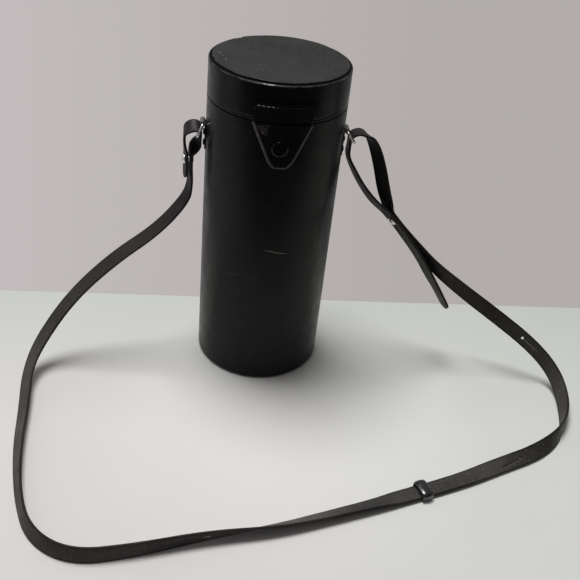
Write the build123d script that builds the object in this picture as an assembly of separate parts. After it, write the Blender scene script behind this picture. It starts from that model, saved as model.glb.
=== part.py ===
# A tall round leather lens case that stands on its base, with a hinged lid, a snap tab,
# a swinging wire ring on each side and a long narrow carrying strap that lies on the table.
# Millimetres. The origin is the centre of the base, +Z is up and the snap tab faces -Y.
from build123d import *
from math import copysign, cos, radians, sin, sqrt, tan
import os

# Case body and lid
case_radius = 55.0
case_height = 273.5
lid_height = 30.1
seam_gap = 0.3
fit = 0.05
cover_thickness = 1.4
bottom_rounding = 3.0
bottom_opening_radius = 46.0
base_leather_thickness = 1.4
base_board_thickness = 3.0
board_thickness = 2.0
lining_thickness = 1.0
pad_thickness = 5.0
pad_gap = 0.4
collar_thickness = 1.2
collar_rise = 8.0
collar_depth = 24.0
lid_board_thickness = 1.6
lid_top_board_thickness = 2.0
lid_lining_thickness = 0.6
lid_pad_thickness = 3.0
lid_pad_margin = 1.5
rim_width = 7.0
rim_height = 1.6
rim_rounding = 1.2
top_leather_thickness = 1.4
top_leather_margin = 2.3
top_leather_rounding = 0.35

# Front tab with its snap
tab_gap = 0.3
tab_patch_thickness = 1.3
tab_patch_height = 15.0
tab_top_half_width = 22.4
tab_tip_half_width = 9.4
tab_length = 34.8
tab_taper_length = 30.5
tab_tip_rounding = 5.0
tab_shoulder = 1.6
tab_backing_thickness = 1.2
tab_flap_thickness = 1.4
tab_flap_margin = 1.3
snap_drop = 18.1
snap_x = -1.4
snap_cap_radius = 5.9
snap_cap_height = 1.6
snap_shank_radius = 3.1
snap_socket_radius = 4.8
snap_socket_thickness = 0.9
snap_socket_recess = 0.25
snap_bore_radius = 2.5
snap_stud_radius = 2.1
snap_stud_height = 2.3
snap_flange_radius = 4.5
snap_flange_thickness = 0.8
snap_post_radius = 1.5
snap_washer_radius = 4.0
snap_washer_thickness = 0.6

# Leather hinge at the back and its sewing
hinge_half_width = 22.0
hinge_drop = 24.0
hinge_thickness = 1.3
hinge_rounding = 5.0
hinge_top_gap = 3.0
thread_radius = 0.4
stitch_length = 2.2
stitch_pitch = 3.4
stitch_inset = 2.2

# Side lugs and wire rings
ring_drop = 55.0
lug_width = 10.0
lug_drop = 22.0
lug_thickness = 0.9
lug_rounding = 2.5
barrel_radius = 2.1
barrel_overlap = 0.45
rivet_places = (8.0, 17.0)
rivet_radius = 1.4
rivet_head_radius = 2.6
rivet_head_height = 1.1
rivet_washer_radius = 3.0
rivet_washer_thickness = 0.6
wire_radius = 1.1
ring_running_clearance = 0.05
ring_arm = 11.0
ring_width = 16.0
ring_corner = 2.4
left_ring_droop = 69.0
right_ring_droop = 53.0

# Strap, strap studs and keeper
strap_width = 13.0
strap_thickness = 2.0
strap_joint_gap = 0.3
left_ply_gap = 1.9
right_ply_gap = 0.15
tip_length = 4.0
tip_width_share = 0.55
strap_stud_post_radius = 1.8
strap_stud_head_radius = 3.3
strap_stud_head_edge = 0.5
strap_stud_head_height = 1.9
strap_stud_base_radius = 3.4
strap_stud_base_thickness = 0.9
stud_hole_clearance = 0.2
keeper_wall = 1.5
keeper_clearance = 0.4
keeper_length = 9.0
keeper_rounding = 2.4
keeper_slot_rounding = 1.0
keeper_floor_gap = 0.1
keeper_angle = 17.5

# Worked-out places
seam_z = case_height - lid_height
body_top = seam_z - seam_gap / 2
lid_bottom = seam_z + seam_gap / 2
core_radius = case_radius - cover_thickness - fit
core_inner = core_radius - board_thickness
lining_radius = core_inner - fit
lining_inner = lining_radius - lining_thickness
base_board_bottom = cover_thickness + fit
base_board_top = base_board_bottom + base_board_thickness
floor_top = base_board_top + fit + lining_thickness
lid_inner = core_radius - lid_board_thickness
rim_top = case_height - top_leather_thickness - fit
rim_bottom = rim_top - rim_height
rim_inner = case_radius - rim_width
lid_board_top = rim_bottom - fit
lid_ceiling = lid_board_top - lid_top_board_thickness
ring_height = case_height - ring_drop
ring_axis_x = case_radius + fit + lug_thickness + barrel_radius - barrel_overlap
snap_z = seam_z - snap_drop
snap_flange_back = snap_flange_thickness - case_radius
tab_inner = case_radius + tab_gap
tab_middle = tab_inner + tab_backing_thickness
tab_outer = tab_middle + tab_flap_thickness
keeper_slot_width = strap_width + 2 * keeper_clearance
keeper_slot_height = 2 * strap_thickness + 2 * keeper_clearance
keeper_slot_floor = keeper_floor_gap + keeper_wall
keeper_middle = keeper_slot_floor + keeper_slot_height / 2
strap_in_keeper = Vector(120, -187.5, keeper_slot_floor + keeper_clearance + strap_thickness / 2)


def save(shape, name):
    shape.label = name
    export_step(shape, "parts/" + name + ".step")


def rod(radius, low, high):
    return Pos(0, 0, low) * Cylinder(radius, high - low, align=(Align.CENTER, Align.CENTER, Align.MIN))


def tube(outer, inner, low, high):
    return rod(outer, low, high) - rod(inner, low - 1, high + 1)


def pin(radius, start, direction, length):
    return extrude(Plane(origin=start, z_dir=direction) * Circle(radius), length)


def wrapped(outline, inner, outer):
    # Leather cut to an outline in the front view and laid round the case wall.
    reach = 2 * case_radius
    return extrude(outline, reach) & tube(outer, inner, 0, case_height + 10)


# Round walls of the body

def make_body_cover():
    outer = rod(case_radius, 0, body_top)
    outer = fillet(outer.edges().sort_by(Axis.Z)[0], bottom_rounding)
    inner = rod(case_radius - cover_thickness, cover_thickness, body_top + 1)
    inner = fillet(inner.edges().sort_by(Axis.Z)[0], bottom_rounding - cover_thickness)
    cover = outer - inner - rod(bottom_opening_radius, -1, cover_thickness + 1)
    return cover - wall_holes()


def wall_holes():
    holes = pin(snap_post_radius + fit, (snap_x, -core_inner + 5, snap_z), (0, -1, 0), 15)
    holes += pin(snap_flange_radius + fit, (snap_x, snap_flange_back, snap_z), (0, -1, 0), 5)
    for side in (-1, 1):
        for drop in rivet_places:
            start = (side * (core_inner - 5), 0, ring_height - drop)
            holes += pin(rivet_radius + fit, start, (side, 0, 0), 15)
    return holes


def make_body_core():
    core = tube(core_radius, core_inner, base_board_top, body_top)
    core -= wall_holes()
    core -= pin(snap_washer_radius + fit, (snap_x, -core_inner + 5, snap_z), (0, -1, 0),
                5 + snap_washer_pocket())
    for side in (-1, 1):
        for drop in rivet_places:
            start = (side * (core_inner - 5), 0, ring_height - drop)
            core -= pin(rivet_washer_radius + fit, start, (side, 0, 0), 5 + rivet_washer_pocket())
    return core


def snap_washer_pocket():
    return snap_washer_thickness + 2 * fit


def rivet_washer_pocket():
    return rivet_washer_thickness + 2 * fit


def make_base_board():
    board = rod(core_radius, base_board_bottom, base_board_top)
    return chamfer(board.edges().sort_by(Axis.Z)[0], bottom_rounding - cover_thickness)


def make_base_leather():
    return rod(bottom_opening_radius - fit, 0, base_leather_thickness)


def make_body_lining():
    cup = rod(lining_radius, base_board_top + fit, body_top)
    return cup - rod(lining_inner, floor_top, body_top + 1)


def make_bottom_pad():
    pad = rod(lining_inner - pad_gap, floor_top + fit, floor_top + fit + pad_thickness)
    return fillet(pad.edges().sort_by(Axis.Z)[-1], 1.5)


def make_collar():
    outer = lining_inner - fit
    collar = tube(outer, outer - collar_thickness, seam_z - collar_depth, seam_z + collar_rise)
    return fillet(collar.edges().group_by(Axis.Z)[-1], collar_thickness * 0.4)


# Round walls of the lid

def make_lid_cover():
    return tube(case_radius, case_radius - cover_thickness, lid_bottom, rim_bottom - fit)


def make_lid_shell():
    shell = rod(core_radius, lid_bottom, lid_board_top) + rod(rim_inner - fit, lid_board_top - 1, rim_top)
    return shell - rod(lid_inner, lid_bottom - 1, lid_ceiling)


def make_lid_lining():
    outer = lid_inner - fit
    top = lid_ceiling - fit
    cup = rod(outer, lid_bottom, top)
    return cup - rod(outer - lid_lining_thickness, lid_bottom - 1, top - lid_lining_thickness)


def make_lid_pad():
    top = lid_ceiling - lid_lining_thickness - 2 * fit
    pad = rod(lining_inner - lid_pad_margin, top - lid_pad_thickness, top)
    return fillet(pad.edges().sort_by(Axis.Z)[0], 1.2)


def make_lid_rim():
    # A flat ring of leather that ends the cover at the top, round the raised middle of the board.
    rim = tube(case_radius, rim_inner, rim_bottom, rim_top)
    return fillet(rim.edges().group_by(Axis.Z)[-1].sort_by(SortBy.RADIUS)[-1], rim_rounding)


def make_lid_top_leather():
    disc = rod(case_radius - top_leather_margin, rim_top + fit, case_height)
    return fillet(disc.edges().sort_by(Axis.Z)[-1], top_leather_rounding)


# Front tab: a patch sewn to the lid, and a flap of two plies that folds at the seam

def make_tab_patch():
    outline = Plane.XZ * Pos(0, lid_bottom + tab_patch_height / 2)
    outline *= Rectangle(2 * tab_top_half_width, tab_patch_height)
    return wrapped(outline, case_radius + fit, case_radius + fit + tab_patch_thickness)


def tab_outline(margin):
    top = seam_z - seam_gap / 2
    shoulder = top - tab_shoulder
    tip = top - tab_length + margin
    bend = top - tab_taper_length + margin
    half_top = tab_top_half_width - margin
    half_tip = tab_tip_half_width - margin * 0.7
    corners = [(-half_top, top), (-half_top, shoulder), (-half_tip, bend), (-half_tip * 0.55, tip)]
    corners += [(-x, z) for x, z in reversed(corners)]
    face = make_face(Polyline(*corners, close=True))
    tip_corners = face.vertices().sort_by(Axis.Y)[0:4]
    return Plane.XZ * fillet(tip_corners, tab_tip_rounding * 0.6)


def make_tab_backing():
    backing = wrapped(tab_outline(0), tab_inner, tab_middle)
    return backing - pin(snap_socket_radius + fit, (snap_x, 0, snap_z), (0, -1, 0), tab_outer + 5)


def make_tab_flap():
    flap = wrapped(tab_outline(tab_flap_margin), tab_middle + fit, tab_outer)
    return flap - pin(snap_shank_radius + fit, (snap_x, 0, snap_z), (0, -1, 0), tab_outer + 5)


def make_snap_cap():
    seat = -tab_outer - fit
    dome = pin(snap_cap_radius, (snap_x, seat, snap_z), (0, -1, 0), snap_cap_height)
    dome = fillet(dome.edges().sort_by(Axis.Y)[0], snap_cap_height * 0.7)
    shank_length = tab_outer + fit - tab_middle + snap_socket_recess
    shank = pin(snap_shank_radius, (snap_x, seat, snap_z), (0, 1, 0), shank_length)
    return dome + shank - pin(snap_bore_radius, (snap_x, seat, snap_z), (0, 1, 0), shank_length + 1)


def make_snap_socket():
    back = -tab_middle + snap_socket_recess
    ring = pin(snap_socket_radius, (snap_x, back, snap_z), (0, 1, 0), snap_socket_thickness)
    return ring - pin(snap_bore_radius, (snap_x, back - 1, snap_z), (0, 1, 0), 5)


def make_snap_stud():
    flange_start = (snap_x, snap_flange_back - fit, snap_z)
    stud = pin(snap_flange_radius, flange_start, (0, -1, 0), snap_flange_thickness)
    head = pin(snap_stud_radius, (snap_x, -case_radius, snap_z), (0, -1, 0), snap_stud_height)
    head = fillet(head.edges().sort_by(Axis.Y)[0], snap_stud_radius * 0.4)
    post_start = -core_inner - snap_washer_thickness - fit
    post = pin(snap_post_radius, (snap_x, post_start, snap_z), (0, -1, 0), case_radius + post_start)
    return stud + head + post


def make_snap_washer():
    start = -core_inner - fit
    return pin(snap_washer_radius, (snap_x, start, snap_z), (0, -1, 0), snap_washer_thickness)


# Leather hinge, in two halves that meet at the fold, and rows of thread

def hinge_half(low, high, rounded_end):
    outline = Pos(0, (low + high) / 2) * Rectangle(2 * hinge_half_width, high - low)
    corners = outline.vertices().group_by(Axis.Y)[rounded_end]
    outline = Plane.XZ * fillet(corners, hinge_rounding)
    half = wrapped(outline, case_radius + fit, case_radius + fit + hinge_thickness)
    return Rot(0, 0, 180) * half


def make_hinge_body_half():
    return hinge_half(seam_z - hinge_drop, body_top, 0)


def make_hinge_lid_half():
    return hinge_half(lid_bottom, rim_bottom - hinge_top_gap, -1)


def stitch(radius, across, height, upright):
    # One stitch lying on a leather surface of the given radius, in the front view.
    angle = across / radius
    reach = radius + thread_radius + fit
    center = Vector(reach * sin(angle), -reach * cos(angle), height)
    along = Vector(0, 0, 1) if upright else Vector(cos(angle), sin(angle), 0)
    return pin(thread_radius, center - along * stitch_length / 2, along, stitch_length)


def stitch_row(radius, half_length, height):
    count = int(2 * half_length / stitch_pitch)
    first = -(count - 1) * stitch_pitch / 2
    return [stitch(radius, first + i * stitch_pitch, height, False) for i in range(count)]


def stitch_column(radius, across, low, high):
    count = int((high - low) / stitch_pitch)
    return [stitch(radius, across, low + (i + 0.5) * stitch_pitch, True) for i in range(count)]


def make_tab_stitches():
    radius = case_radius + fit + tab_patch_thickness
    edge = tab_top_half_width - stitch_inset + 1.0
    top = lid_bottom + tab_patch_height - stitch_inset
    low = lid_bottom + 1.0
    threads = stitch_row(radius, edge, top)
    threads += stitch_column(radius, -edge, low, top - 1.0)
    threads += stitch_column(radius, edge, low, top - 1.0)
    return Compound(children=threads)


def make_hinge_stitches(height):
    radius = case_radius + fit + hinge_thickness
    threads = stitch_row(radius, hinge_half_width - 4.0, height)
    return Compound(children=[Rot(0, 0, 180) * thread for thread in threads])


# Side lugs with their rivets and barrels, and the wire rings

def make_lug():
    # Leather strip laid on the case wall below the barrel, hollowed at its top to seat it.
    outline = Pos(0, ring_height - lug_drop / 2) * Rectangle(lug_width, lug_drop)
    outline = fillet(outline.vertices().group_by(Axis.Y)[0], lug_rounding)
    strip = extrude(Plane.YZ * outline, 2 * case_radius)
    strip &= tube(case_radius + fit + lug_thickness, case_radius + fit, 0, case_height)
    strip -= across_pin(barrel_radius + fit, 2 * lug_width)
    for drop in rivet_places:
        strip -= pin(rivet_radius + fit, (case_radius - 5, 0, ring_height - drop), (1, 0, 0), 15)
    return strip


def across_pin(radius, length):
    return pin(radius, (ring_axis_x, -length / 2, ring_height), (0, 1, 0), length)


def make_barrel():
    bore = across_pin(wire_radius + ring_running_clearance, 2 * lug_width)
    return across_pin(barrel_radius, lug_width) - bore


def make_rivets():
    face = case_radius + 2 * fit + lug_thickness
    rivets = []
    for drop in rivet_places:
        height = ring_height - drop
        head = pin(rivet_head_radius, (face, 0, height), (1, 0, 0), rivet_head_height)
        head = fillet(head.edges().sort_by(Axis.X)[-1], rivet_head_height * 0.8)
        start = core_inner + fit
        shank = pin(rivet_radius, (start, 0, height), (1, 0, 0), face - start)
        washer = pin(rivet_washer_radius, (start, 0, height), (1, 0, 0), rivet_washer_thickness)
        rivets.append(head + shank + washer)
    return Compound(children=rivets)


def make_ring(droop):
    arm_direction = Vector(cos(radians(droop)), 0, -sin(radians(droop)))
    plane = Plane(origin=(ring_axis_x, 0, ring_height), x_dir=arm_direction,
                  z_dir=arm_direction.cross(Vector(0, 1, 0)))
    half = ring_width / 2
    corners = [(0, half), (ring_arm, half), (ring_arm, -half), (0, -half)]
    path = plane * FilletPolyline(*corners, radius=ring_corner, close=True)
    section = Plane(origin=path @ 0, z_dir=path % 0) * Circle(wire_radius)
    return sweep(section, path=path)


# Strap: each stretch has a route of chosen points, and beside each point the direction
# across the strap there, because the strap twists as it goes from ring to table.
# The points are written for rings that pivot at the drawn pivot and its mirror image.

drawn_pivot = Vector(57.6, 0, 218.5)


def hung(x, y, z):
    # A point of the hanging strap. The upper half of it goes with the ring when the case's
    # size changes, and the lower half goes less and less towards the table.
    share = min(1, 2 * z / drawn_pivot.Z)
    outward = copysign(ring_axis_x - drawn_pivot.X, x)
    return Vector(x + outward * share, y, z + (ring_height - drawn_pivot.Z) * share)


up = Vector(0, 0, 1)
left_front = Vector(-0.98, -0.2, 0).normalized()
left_across = Vector(-0.2, 0.98, 0).normalized()
left_main_at_stud = hung(-66.4, 0.3, 186)
left_tail_at_stud = left_main_at_stud + left_front * (strap_thickness + left_ply_gap)
right_along = Vector(0.671, -0.058, -0.739).normalized()
right_across = Vector(0.353, -0.852, 0.387).normalized()
right_front = right_along.cross(right_across).normalized()
right_main_at_stud = hung(109.2, -4.9, 140.7)
right_tail_at_stud = right_main_at_stud + right_front * (strap_thickness + right_ply_gap)
keeper_along = Vector(cos(radians(keeper_angle)), sin(radians(keeper_angle)), 0)
keeper_across = Vector(-sin(radians(keeper_angle)), cos(radians(keeper_angle)), 0)

left_strap_route = [
    (strap_in_keeper, keeper_across),
    (strap_in_keeper - keeper_along * 22, keeper_across),
    (strap_in_keeper - keeper_along * 40 + up * 0.9, Vector(-0.25, 0.88, -0.4)),
    (Vector(44, -210.5, 4.4), Vector(-0.2, 0.84, -0.5)),
    (Vector(4, -221.5, 5.7), Vector(-0.1, 0.7, -0.7)),
    (Vector(-46, -229.5, 6.9), Vector(0, 0.25, -0.97)),
    (Vector(-98, -242, 6.8), Vector(0, -0.1, -1)),
    (Vector(-140, -247, 6.8), Vector(0, -0.25, -0.97)),
    (Vector(-170, -228, 6.8), Vector(-0.2, -0.25, -0.95)),
    (Vector(-184.2, -192, 6.7), Vector(-0.34, -0.09, -0.94)),
    (Vector(-193, -142, 6.5), Vector(-0.6, 0, -0.8)),
    (Vector(-195.8, -98.1, 6.6), Vector(-0.7, 0.02, -0.7)),
    (hung(-199.3, -62.1, 11.9), Vector(-0.72, 0.33, -0.6)),
    (hung(-190.4, -37.8, 27.2), Vector(-0.69, 0.72, -0.02)),
    (hung(-164, -22.8, 63.3), Vector(-0.51, 0.81, 0.21)),
    (hung(-128.6, -15.6, 98), Vector(-0.48, 0.81, 0.33)),
    (hung(-92.6, -8.3, 123.6), Vector(-0.4, 0.89, 0.24)),
    (hung(-69.2, -3.8, 151.7), Vector(-0.41, 0.9, 0.14)),
    (hung(-66.2, -1.8, 165.5), Vector(-0.28, 0.95, -0.08)),
    (left_main_at_stud - up * 8, left_across),
    (left_main_at_stud, left_across),
    (left_main_at_stud + up * 6, left_across),
    (hung(-64.3, 0, 196), Vector(-0.55, 0.82, 0.2)),
    (hung(-61.3, 0, 200.6), Vector(-0.5, 0.84, 0.2)),
    (hung(-59.6, 0, 204.6), Vector(-0.1, 1, 0)),
]
left_loop_route = [
    (hung(-59.5, 0, 204.9), Vector(-0.1, 1, 0)),
    (hung(-58.6, 0, 208.3), Vector(0, 1, 0)),
    (hung(-58.9, 0, 213.9), Vector(0, 0.95, 0.3)),
    (hung(-65.4, 0, 215.3), Vector(0, 0.89, 0.44)),
    (hung(-70.8, 0, 211.4), Vector(0, 0.9, 0.45)),
    (hung(-71.7, 0, 207), Vector(0, 0.98, 0.15)),
    (hung(-71.5, 0, 203.5), Vector(0, 1, 0)),
]
left_tail_route = [
    (hung(-71.5, 0, 203.2), Vector(0, 1, 0)),
    (hung(-71.3, 0, 198.5), Vector(-0.1, 1, 0)),
    (left_tail_at_stud + up * 7, left_across),
    (left_tail_at_stud + up * 2.9, left_across),
    (left_tail_at_stud - up * 5, left_across),
    (left_tail_at_stud - up * 12 + left_front * 0.4, left_across),
]
right_strap_route = [
    (strap_in_keeper, keeper_across),
    (strap_in_keeper + keeper_along * 32, keeper_across),
    (Vector(188, -163, 4.4), Vector(-0.3, 0.85, 0.45)),
    (Vector(228, -147.5, 5.4), Vector(-0.4, 0.7, 0.6)),
    (Vector(254, -128.5, 6.9), Vector(-0.2, 0.2, 0.97)),
    (Vector(267, -102.9, 6.9), Vector(0.37, -0.13, 0.92)),
    (Vector(273.9, -73.1, 8.3), Vector(0.6, -0.15, 0.78)),
    (hung(266.6, -54.6, 20), Vector(0.63, -0.14, 0.74)),
    (hung(244.1, -43.8, 39), Vector(0.62, 0.12, 0.77)),
    (hung(212.3, -29.8, 57.7), Vector(0.57, 0.24, 0.78)),
    (hung(180.7, -19.7, 76.7), Vector(0.53, -0.05, 0.85)),
    (hung(149.9, -11.8, 98), Vector(0.45, -0.48, 0.74)),
    (hung(132.3, -6, 116), Vector(0.36, -0.78, 0.51)),
    (right_main_at_stud + right_along * 11, right_across),
    (right_main_at_stud - right_along * 2, right_across),
    (right_main_at_stud - right_along * 9, right_across),
    (hung(101.5, -3, 153.2), Vector(0.55, -0.78, 0.29)),
    (hung(96.2, -2.1, 165.8), Vector(0.7, -0.65, 0.29)),
    (hung(90.1, -1.5, 186), Vector(0.66, -0.71, 0.26)),
    (hung(83.8, -0.6, 202.8), Vector(0.56, -0.77, 0.29)),
    (hung(78.2, 0, 212.3), Vector(0.3, -0.88, 0.36)),
    (hung(73.55, 0, 215.2), Vector(0, -1, 0)),
]
right_loop_route = [
    (hung(73.23, 0, 215.32), Vector(0, -1, 0)),
    (hung(68.3, 0, 217.3), Vector(0, -1, 0)),
    (hung(61.2, 0, 213.8), Vector(0, -1, 0)),
    (hung(61.3, 0, 208), Vector(0, -1, 0)),
    (hung(61.2, 0, 203.6), Vector(0, -1, 0)),
]
right_tail_route = [
    (hung(61.2, 0, 203.3), Vector(0, -1, 0)),
    (hung(61.1, 0, 195.8), Vector(0.1, -0.99, 0.05)),
    (hung(66.9, -0.6, 185.1), Vector(0.2, -0.95, 0.2)),
    (hung(75.4, -2.2, 171.3), Vector(0.24, -0.93, 0.27)),
    (hung(88.2, -4.2, 156.3), Vector(0.34, -0.87, 0.36)),
    (right_tail_at_stud - right_along * 14 + right_front * 0.8, Vector(0.35, -0.84, 0.41)),
    (right_tail_at_stud - right_along * 7, right_across),
    (right_tail_at_stud + right_along * 12, right_across),
    (hung(136.5, -11, 106), Vector(0.32, -0.87, 0.39)),
    (hung(147.9, -13.5, 88.8), Vector(0.35, -0.85, 0.39)),
    (hung(160.5, -14.5, 70.7), Vector(0.3, -0.91, 0.27)),
    (hung(168, -16, 58.4), Vector(0.27, -0.92, 0.28)),
]


def curve_point(a, b, c, share):
    return a * (1 - share) ** 2 + b * 2 * share * (1 - share) + c * share ** 2


def stations(route, steps):
    # The smooth line that touches the middle of each leg of the route, with its direction
    # and the strap's crosswise direction, at even steps of each bend.
    points = [point for point, across in route]
    acrosses = [across.normalized() for point, across in route]
    rows = []
    for i in range(1, len(route) - 1):
        ends = [(points[0], acrosses[0]) if i == 1 else middle(points, acrosses, i - 1),
                (points[-1], acrosses[-1]) if i == len(route) - 2 else middle(points, acrosses, i)]
        last = steps + 1 if i == len(route) - 2 else steps
        for k in range(last):
            share = k / steps
            center = curve_point(ends[0][0], points[i], ends[1][0], share)
            along = (points[i] - ends[0][0]) * (1 - share) + (ends[1][0] - points[i]) * share
            across = curve_point(ends[0][1], acrosses[i], ends[1][1], share)
            rows.append((center, along.normalized(), across))
    return rows


def middle(points, acrosses, i):
    return (points[i] + points[i + 1]) / 2, (acrosses[i] + acrosses[i + 1]) / 2


def strap_section(center, along, across, width):
    level = (across - along * across.dot(along)).normalized()
    thick = along.cross(level) * strap_thickness / 2
    side = level * width / 2
    corners = [center + side + thick, center - side + thick, center - side - thick, center + side - thick]
    return Wire.make_polygon(corners, close=True)


def make_strap(route, steps=2, tip=False):
    rows = stations(route, steps)
    sections = [strap_section(center, along, across, strap_width) for center, along, across in rows]
    if tip:
        center, along, across = rows[-1]
        sections.append(strap_section(center + along * tip_length * 0.6, along, across, strap_width * 0.9))
        sections.append(strap_section(center + along * tip_length, along, across,
                                      strap_width * tip_width_share))
    return Solid.make_loft(sections, ruled=True)


def route_length(route):
    rows = stations(route, 8)
    return sum((rows[i + 1][0] - rows[i][0]).length for i in range(len(rows) - 1))


def print_route(name, route, solid):
    radii = []
    for i in range(1, len(route) - 1):
        before = route[i][0] - route[i - 1][0]
        after = route[i + 1][0] - route[i][0]
        turn = radians(before.get_angle(after))
        radii.append(round(0.45 * min(before.length, after.length) / tan(max(turn, 0.001) / 2), 1))
    length = route_length(route)
    full = strap_width * strap_thickness * length
    print(name, "length", round(length, 1), "volume share", round(solid.volume / full, 3), "radii", radii)


def stud_hole(at, front):
    radius = strap_stud_post_radius + stud_hole_clearance
    return pin(radius, at - front * 10, front, 20)


def make_strap_stud(main_at, front, ply_gap):
    # Turned in one piece: a flat base behind the strap, a post through it and a domed head.
    back = main_at - front * (strap_thickness / 2 + fit + strap_stud_base_thickness)
    seat = strap_stud_base_thickness + 2 * strap_thickness + ply_gap + 2 * fit
    brim = seat + strap_stud_head_edge
    rise = strap_stud_head_height - strap_stud_head_edge
    dome_radius = (strap_stud_head_radius ** 2 + rise ** 2) / (2 * rise)
    shoulder_x = strap_stud_head_radius / 2
    shoulder = (shoulder_x, brim + rise - dome_radius + sqrt(dome_radius ** 2 - shoulder_x ** 2))
    crown = (0, brim + rise)
    sides = Polyline((0, 0), (strap_stud_base_radius, 0), (strap_stud_base_radius, strap_stud_base_thickness),
                     (strap_stud_post_radius, strap_stud_base_thickness), (strap_stud_post_radius, seat),
                     (strap_stud_head_radius, seat), (strap_stud_head_radius, brim))
    dome = ThreePointArc((strap_stud_head_radius, brim), shoulder, crown)
    profile = Plane.XZ * make_face([sides, dome, Line(crown, (0, 0))])
    return Plane(origin=back, z_dir=front) * revolve(profile, Axis.Z)


def make_keeper():
    # Loop with room for two thicknesses of strap; the strap lies in the bottom of it.
    outer = Box(keeper_length, keeper_slot_width + 2 * keeper_wall, keeper_slot_height + 2 * keeper_wall)
    outer = fillet(outer.edges().filter_by(Axis.X), keeper_rounding)
    slot = Box(keeper_length + 2, keeper_slot_width, keeper_slot_height)
    slot = fillet(slot.edges().filter_by(Axis.X), keeper_slot_rounding)
    place = Pos(strap_in_keeper.X, strap_in_keeper.Y, keeper_middle) * Rot(0, 0, keeper_angle)
    return place * (outer - slot)


def make_straps():
    left_main = make_strap(left_strap_route) - stud_hole(left_main_at_stud, left_front)
    left_tail = make_strap(left_tail_route, tip=True) - stud_hole(left_tail_at_stud, left_front)
    right_main = make_strap(right_strap_route) - stud_hole(right_main_at_stud, right_front)
    right_tail = make_strap(right_tail_route, tip=True) - stud_hole(right_tail_at_stud, right_front)
    left_loop = make_strap(left_loop_route, steps=4)
    right_loop = make_strap(right_loop_route, steps=4)
    print_route("left strap", left_strap_route, left_main)
    print_route("left loop", left_loop_route, left_loop)
    print_route("left tail", left_tail_route, left_tail)
    print_route("right strap", right_strap_route, right_main)
    print_route("right loop", right_loop_route, right_loop)
    print_route("right tail", right_tail_route, right_tail)
    save(left_main, "strap_left")
    save(left_loop, "strap_left_ring_loop")
    save(left_tail, "strap_left_tail")
    save(right_main, "strap_right")
    save(right_loop, "strap_right_ring_loop")
    save(right_tail, "strap_right_tail")


os.makedirs("parts", exist_ok=True)
save(make_body_cover(), "body_cover")
save(make_body_core(), "body_core")
save(make_base_board(), "base_board")
save(make_base_leather(), "base_leather")
save(make_body_lining(), "body_lining")
save(make_bottom_pad(), "bottom_pad")
save(make_collar(), "collar")
save(make_lid_cover(), "lid_cover")
save(make_lid_shell(), "lid_shell")
save(make_lid_lining(), "lid_lining")
save(make_lid_pad(), "lid_pad")
save(make_lid_rim(), "lid_rim")
save(make_lid_top_leather(), "lid_top_leather")
save(make_tab_patch(), "tab_patch")
save(make_tab_stitches(), "tab_stitches")
save(make_tab_backing(), "tab_backing")
save(make_tab_flap(), "tab_flap")
save(make_snap_cap(), "snap_cap")
save(make_snap_socket(), "snap_socket")
save(make_snap_stud(), "snap_stud")
save(make_snap_washer(), "snap_washer")
save(make_hinge_body_half(), "hinge_body_half")
save(make_hinge_lid_half(), "hinge_lid_half")
save(make_hinge_stitches(seam_z - hinge_drop + stitch_inset), "hinge_body_stitches")
save(make_hinge_stitches(rim_bottom - hinge_top_gap - stitch_inset), "hinge_lid_stitches")
save(mirror(make_lug(), about=Plane.YZ), "left_lug")
save(mirror(make_barrel(), about=Plane.YZ), "left_barrel")
save(mirror(make_rivets(), about=Plane.YZ), "left_lug_rivets")
save(mirror(make_ring(left_ring_droop), about=Plane.YZ), "left_ring")
save(make_lug(), "right_lug")
save(make_barrel(), "right_barrel")
save(make_rivets(), "right_lug_rivets")
save(make_ring(right_ring_droop), "right_ring")
make_straps()
save(make_strap_stud(left_main_at_stud, left_front, left_ply_gap), "left_strap_stud")
save(make_strap_stud(right_main_at_stud, right_front, right_ply_gap), "right_strap_stud")
save(make_keeper(), "keeper")
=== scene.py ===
import math
import bmesh
import bpy
from mathutils import Matrix, Vector, noise


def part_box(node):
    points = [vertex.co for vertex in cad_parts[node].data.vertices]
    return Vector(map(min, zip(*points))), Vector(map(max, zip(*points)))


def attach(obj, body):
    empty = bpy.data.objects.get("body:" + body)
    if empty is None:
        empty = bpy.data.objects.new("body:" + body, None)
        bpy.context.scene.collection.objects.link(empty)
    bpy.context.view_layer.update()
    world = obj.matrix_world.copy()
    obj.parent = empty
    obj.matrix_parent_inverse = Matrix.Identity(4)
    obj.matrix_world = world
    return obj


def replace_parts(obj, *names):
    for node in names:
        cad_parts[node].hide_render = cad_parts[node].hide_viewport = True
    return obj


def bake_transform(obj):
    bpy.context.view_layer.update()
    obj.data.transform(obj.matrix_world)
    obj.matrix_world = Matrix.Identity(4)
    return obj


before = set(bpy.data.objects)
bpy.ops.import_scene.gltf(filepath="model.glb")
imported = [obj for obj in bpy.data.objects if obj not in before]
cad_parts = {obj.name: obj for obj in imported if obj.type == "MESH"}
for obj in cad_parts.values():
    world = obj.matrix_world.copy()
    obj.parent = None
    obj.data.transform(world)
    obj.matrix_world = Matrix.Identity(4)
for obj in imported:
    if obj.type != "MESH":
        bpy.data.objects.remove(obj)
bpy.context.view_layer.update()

# The view. The case was photographed from above and a little to its left, with the picture
# tipped a few degrees, so the lens stands 0.6 m in front and 0.48 m up.
lens_place = Vector((-0.06246, -0.59423, 0.4774))
lens_turn, lens_dip, lens_tip = 0.14852, 0.6085, 0.1122
ahead = Vector((math.sin(lens_turn) * math.cos(lens_dip), math.cos(lens_turn) * math.cos(lens_dip),
                -math.sin(lens_dip)))
level_right = Vector((math.cos(lens_turn), -math.sin(lens_turn), 0))
level_up = level_right.cross(ahead)
picture_right = level_right * math.cos(lens_tip) + level_up * math.sin(lens_tip)
picture_up = level_up * math.cos(lens_tip) - level_right * math.sin(lens_tip)
camera_data = bpy.data.cameras.new("camera")
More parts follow.
